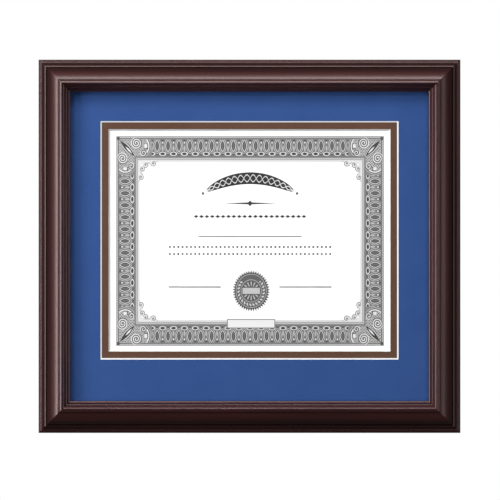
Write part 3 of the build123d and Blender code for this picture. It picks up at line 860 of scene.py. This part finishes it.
def hanger_ring(side, origin, material):
    """A round wire carried round a D: bar, corner, bow and corner. Its circle stands across the path."""
    quarter = math.pi / 2
    inner = RING_HALF_WIDTH - RING_CORNER
    path = np.concatenate([
        arc_points((inner, RING_CORNER), RING_CORNER, -quarter, 0, 12),
        arc_points((0, RING_BOW), RING_HALF_WIDTH, 0, 2 * quarter, 48),
        arc_points((-inner, RING_CORNER), RING_CORNER, 2 * quarter, 3 * quarter, 12),
    ])
    tangent = np.roll(path, -1, axis=0) - np.roll(path, 1, axis=0)
    tangent /= np.linalg.norm(tangent, axis=1, keepdims=True)
    outward = np.column_stack([tangent[:, 1], -tangent[:, 0]])[:, None, :]
    angle = np.linspace(0, 2 * math.pi, 20, endpoint=False)[None, :, None]
    flat = path[:, None, :] + outward * RING_WIRE_RADIUS * np.cos(angle)
    height = np.broadcast_to(RING_AXIS + RING_WIRE_RADIUS * np.sin(angle), flat.shape[:2] + (1,))
    rings = np.concatenate([flat, height], axis=-1)
    faces = grid_faces(*rings.shape[:2], close_rows=True, close_columns=True)
    name = f"hanger_ring_{side}"
    surface = (stand(rings, origin, UP).reshape(-1, 3), faces)
    add_piece(f"{name}_wire", [surface], material, [name], body=name)


def hanger_strap(side, origin, material):
    """A strip folded round the ring's bar: its rounded section follows the lower ply, the loop, and a
    reverse bend down to the upper ply. Its half width narrows as a half circle past the screw."""
    low = STRAP_THICKNESS / 2
    high = low + STRAP_THICKNESS + STRAP_SLIT / 2
    tip = -(STRAP_SCREW_DROP + STRAP_HALF_WIDTH)
    loop = np.array([0.0, low + STRAP_LOOP])
    leaving = np.array([math.cos(STRAP_LEAVES), math.sin(STRAP_LEAVES)])
    leaves = loop + STRAP_LOOP * leaving
    bend = (leaves[1] - high) / (1 - leaving[1])
    round_loop = arc_points(loop, STRAP_LOOP, -math.pi / 2, STRAP_LEAVES, 40)
    reverse = arc_points(leaves + bend * leaving, bend, STRAP_LEAVES + math.pi, 1.5 * math.pi, 12)
    share = np.linspace(0, math.pi / 2, 24)
    lower = np.column_stack([tip * np.cos(share), np.full(24, low)])
    upper = np.column_stack([tip + (reverse[-1, 0] - tip) * (1 - np.sin(share)), np.full(24, high)])
    path = np.concatenate([lower, round_loop[1:], reverse[1:], upper[1:]])
    tangent = np.gradient(path, axis=0)
    tangent /= np.linalg.norm(tangent, axis=1, keepdims=True)
    normal = np.column_stack([-tangent[:, 1], tangent[:, 0]])
    past = np.clip(-STRAP_SCREW_DROP - path[:, 0], 0, STRAP_HALF_WIDTH)
    half = np.maximum(np.sqrt(STRAP_HALF_WIDTH**2 - past**2), STRAP_EDGE)[:, None]
    angle = np.concatenate([np.linspace(0, math.pi / 2, 5) + quarter * math.pi / 2 for quarter in range(4)])
    side_x = np.repeat([1, -1, -1, 1], 5)
    side_z = np.repeat([1, 1, -1, -1], 5)
    across = side_x * (half - STRAP_EDGE) + STRAP_EDGE * np.cos(angle)
    through = side_z * (low - STRAP_EDGE) + STRAP_EDGE * np.sin(angle)
    y = path[:, 0:1] + normal[:, 0:1] * through
    z = path[:, 1:2] + normal[:, 1:2] * through
    rings = np.stack([across, y, z], axis=-1)
    count = rings.shape[1]
    faces = grid_faces(*rings.shape[:2], close_columns=True)
    last = (len(rings) - 1) * count
    faces += [list(range(count)), list(range(last, last + count))]
    name = f"hanger_strap_{side}"
    surface = (stand(rings, origin, UP).reshape(-1, 3), faces)
    add_piece(f"{name}_strip", [surface], material, [name])


def wall_bumper(side, origin, material):
    """A turned profile: broad foot, leaning wall, rounded lip and a face that dishes a little."""
    face = BUMPER_FACE_RADIUS - BUMPER_ROUND
    lip = arc_points((face, BUMPER_HEIGHT - BUMPER_ROUND), BUMPER_ROUND, 0.12, math.pi / 2, 8)
    dish = np.array([
        (face * BUMPER_DISH_RIM[0], BUMPER_HEIGHT),
        (face * BUMPER_DISH_RIM[1], BUMPER_HEIGHT - BUMPER_DISH_DEPTH[0]),
        (0, BUMPER_HEIGHT - BUMPER_DISH_DEPTH[1]),
    ])
    foot = np.array([
        (0, 0),
        (BUMPER_BASE_RADIUS - BUMPER_FOOT_EASE[0], 0),
        (BUMPER_BASE_RADIUS, BUMPER_FOOT_EASE[1]),
    ])
    profile = np.concatenate([foot, lip, dish])[:, None, :]
    angle = np.linspace(0, 2 * math.pi, 64, endpoint=False)[None, :]
    rings = np.stack(np.broadcast_arrays(
        profile[..., 0] * np.cos(angle), profile[..., 0] * np.sin(angle), profile[..., 1]
    ), axis=-1)
    surface = (stand(rings, origin, UP).reshape(-1, 3), grid_faces(*rings.shape[:2], close_columns=True))
    name = f"wall_bumper_{side}"
    add_piece(f"{name}_foot", [surface], material, [name])


def dress(material, *nodes):
    """Gives CAD nodes a finish."""
    for node in nodes:
        for slot in frame["nodes"][node].material_slots:
            slot.material = material


def softbox(name, place, size, power):
    """A plain rectangular light that faces the middle of the frame and isn't seen itself."""
    lamp = bpy.data.lights.new(name, "AREA")
    lamp.shape = "RECTANGLE"
    lamp.size, lamp.size_y = size
    lamp.energy = power
    light = bpy.data.objects.new(name, lamp)
    light.location = place
    light.rotation_euler = (-light.location).to_track_quat("-Z", "Y").to_euler()
    light.visible_camera = False
    bpy.context.scene.collection.objects.link(light)


def backdrop():
    """White to the camera, and a weak even light to everything else."""
    world = bpy.data.worlds.new("studio")
    bpy.context.scene.world = world
    world.use_nodes = True
    nodes, links = world.node_tree.nodes, world.node_tree.links
    nodes.clear()
    white = nodes.new("ShaderNodeBackground")
    white.inputs["Color"].default_value = (1, 1, 1, 1)
    ambient = nodes.new("ShaderNodeBackground")
    ambient.inputs["Color"].default_value = (AMBIENT, AMBIENT, AMBIENT, 1)
    path = nodes.new("ShaderNodeLightPath")
    mix = nodes.new("ShaderNodeMixShader")
    links.new(path.outputs["Is Camera Ray"], mix.inputs[0])
    links.new(ambient.outputs[0], mix.inputs[1])
    links.new(white.outputs[0], mix.inputs[2])
    links.new(mix.outputs[0], nodes.new("ShaderNodeOutputWorld").inputs["Surface"])


def studio_floor():
    """A square floor that throws no light back on to the part."""
    mesh = bpy.data.meshes.new("studio_floor")
    corners = [(x * FLOOR_REACH, y * FLOOR_REACH, -FLOOR_DROP) for x, y in CORNERS.values()]
    mesh.from_pydata(corners, [], [(0, 2, 3, 1)])
    mesh.materials.append(pale_floor())
    floor = bpy.data.objects.new("studio_floor", mesh)
    floor.visible_glossy = False
    floor.visible_diffuse = False
    bpy.context.scene.collection.objects.link(floor)


def square_camera():
    """A camera square to the glass, with the scale set at the face of the top mat."""
    lens = bpy.data.cameras.new("camera")
    lens.sensor_width = SENSOR
    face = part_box("top_mat_paper")[0].y
    lens.lens = SENSOR * (VIEW_DISTANCE + face) / (PICTURE / PIXELS_PER_MM * MM)
    camera = bpy.data.objects.new("camera", lens)
    camera.location = (VIEW_MIDDLE[0], -VIEW_DISTANCE, VIEW_MIDDLE[1])
    camera.rotation_euler = (math.pi / 2, 0, 0)
    bpy.context.scene.collection.objects.link(camera)
    bpy.context.scene.camera = camera


def studio():
    """White backdrop, soft lights mostly from the upper left, a pale floor and the camera."""
    bpy.context.scene.view_settings.view_transform = "Standard"
    backdrop()
    for light in LIGHTS:
        softbox(*light)
    studio_floor()
    square_camera()


def build_moulding():
    """The four rails, and the V nails behind their mitres."""
    wood = stained_wood()
    steel = plated_metal("strip_steel", (0.46, 0.46, 0.47, 1), (0.3, 0.29, 0.28, 1))
    for side in INWARD:
        moulding_rail(side, wood)
    for corner in CORNERS:
        nails = [v_nail(corner, place) for place in V_NAIL_PLACES]
        add_piece(f"v_nail_pair_{corner}", nails, steel, [f"v_nails_{corner}"])


def build_turn_buttons():
    """A plate on each turn button's hinge, pointing the way that its solid does, and their screws."""
    brass = plated_metal("brass_plate", (0.6, 0.42, 0.15, 1), (0.42, 0.27, 0.085, 1))
    screws = []
    for joint in frame["joints"]:
        child = joint["child"]
        if not child.startswith("turn_button"):
            continue
        x, _, z = joint["pos_m"]
        pivot = np.array([x, BACK_Y, z])
        low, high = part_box(child)
        offset = np.array((low + high) / 2) - pivot
        offset[1] = 0
        turn_button(child, pivot, np.round(offset / np.linalg.norm(offset)), brass)
        grip = BUTTON_THICKNESS + 2 * BUTTON_PLAY
        screws.append(screw(pivot, 0.9 * len(screws) + 0.3, grip))
    add_piece("turn_button_screw_set", screws, brass, ["turn_button_screws"])


def build_hangers():
    """A ring, a strap and a screw on each side, and the bumper below them."""
    nickel = plated_metal("nickel_plate", (0.62, 0.61, 0.58, 1), (0.44, 0.425, 0.39, 1))
    rubber = moulded_rubber()
    screws = []
    for side in ("left", "right"):
        joint = next(joint for joint in frame["joints"] if joint["child"] == f"hanger_ring_{side}")
        x, _, z = joint["pos_m"]
        origin = np.array([x, BACK_Y, z])
        hanger_ring(side, origin, nickel)
        hanger_strap(side, origin, nickel)
        screws.append(screw(origin - UP * STRAP_SCREW_DROP, 0.5 + x, 2 * STRAP_THICKNESS))
        low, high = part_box(f"wall_bumper_{side}")
        wall_bumper(side, np.array([(low.x + high.x) / 2, BACK_Y, (low.z + high.z) / 2]), rubber)
    add_piece("hanger_screw_set", screws, nickel, ["hanger_screws"])


def dress_layers():
    """The flat layers keep their solids and get their finishes."""
    blue = seen(51, 82, 142), seen(64, 95, 154)
    brown = seen(97, 70, 56), seen(113, 85, 71)
    dress(mat_paper("blue_mat_paper", "top_mat_paper", *blue), "top_mat_paper")
    dress(mat_paper("brown_mat_paper", "inner_mat_paper", *brown), "inner_mat_paper")
    # the top mat's core reflects little and glows strongly: painted light that keeps all its bevels evenly
    # white; the inner core has no glow
    dress(board_core("top_mat_core", 0.35, 0.9), "top_mat_core")
    dress(board_core("inner_mat_core", 0.72, 0.0), "inner_mat_core")
    dress(printed_paper(), "certificate")
    dress(clear_sheet("corner_film", 0.2), "mounting_corners")
    dress(clear_sheet("clear_glass", 0.08), "glazing_sheet")
    dress(plain_board("mount_board", (0.74, 0.72, 0.67, 1), (0.6, 0.57, 0.51, 1), 0.0012), "mount_board")
    dress(plain_board("hardboard", (0.29, 0.16, 0.082, 1), (0.15, 0.078, 0.038, 1), 0.002), "backing_board")


build_moulding()
build_turn_buttons()
build_hangers()
dress_layers()
studio()
